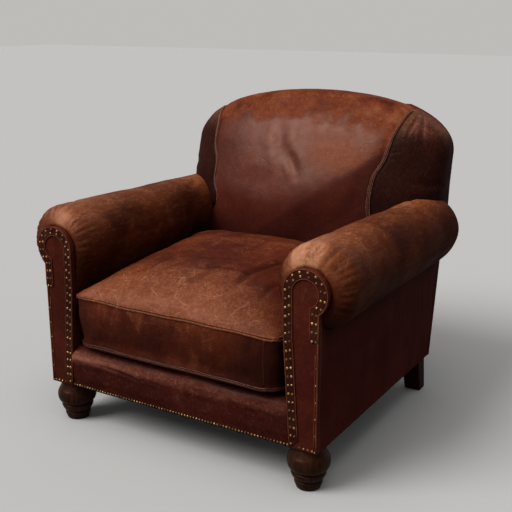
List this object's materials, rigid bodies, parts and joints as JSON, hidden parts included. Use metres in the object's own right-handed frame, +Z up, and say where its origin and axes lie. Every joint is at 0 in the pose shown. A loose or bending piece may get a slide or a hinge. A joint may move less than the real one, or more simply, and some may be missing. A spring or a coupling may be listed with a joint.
{
  "type": "worn club chair",
  "caption": "Worn brown leather club chair with rolled arms, nailed facings, a domed back, a loose seat cushion and turned front feet.",
  "frame": {"origin": "centre of the bounding box on the floor", "axes": "+Z up, the sitter faces -Y, +X is the chair's width, to the right in a front view"},
  "size_m": [0.9136, 0.8172, 0.8245],
  "materials": {
    "worn_leather": "worn, brown, crackled",
    "dark_leather": "dark brown, waxed",
    "band_leather": "near black strip with antique brass nails",
    "turned_wood": "dark red-brown, varnished",
    "black_wood": "near black",
    "frame_wood": "bare hardwood",
    "spring_steel": "bare wire",
    "padding_foam": "foam",
    "webbing": "woven jute",
    "black_cloth": "plain black cloth"
  },
  "bodies": {
    "root": {"back_lower_rail": "frame_wood", "back_padding": "padding_foam", "back_top_rail": "frame_wood", "back_webbing_1": "webbing", "back_webbing_2": "webbing", "back_webbing_3": "webbing", "dust_cover": "black_cloth", "front_border": "worn_leather", "front_rail": "frame_wood", "inside_back": "worn_leather", "left_arm": "worn_leather", "left_arm_facing": "dark_leather", "left_arm_padding": "padding_foam", "left_arm_rail": "frame_wood", "left_back_border": "dark_leather", "left_back_post": "frame_wood", "left_front_block": "frame_wood", "left_front_foot": "turned_wood", "left_front_post": "frame_wood", "left_nail_band": "band_leather", "left_outside_arm": "dark_leather", "left_rail": "frame_wood", "left_rear_block": "frame_wood", "left_rear_leg": "black_wood", "outside_back": "dark_leather", "rear_rail": "frame_wood", "right_arm": "worn_leather", "right_arm_facing": "dark_leather", "right_arm_padding": "padding_foam", "right_arm_rail": "frame_wood", "right_back_border": "dark_leather", "right_back_post": "frame_wood", "right_front_block": "frame_wood", "right_front_foot": "turned_wood", "right_front_post": "frame_wood", "right_nail_band": "band_leather", "right_outside_arm": "dark_leather", "right_rail": "frame_wood", "right_rear_block": "frame_wood", "right_rear_leg": "black_wood", "seat_cushion": "worn_leather", "seat_spring_1": "spring_steel", "seat_spring_2": "spring_steel", "seat_spring_3": "spring_steel", "seat_spring_4": "spring_steel", "spring_deck": "black_cloth"}
  },
  "joints": []
}
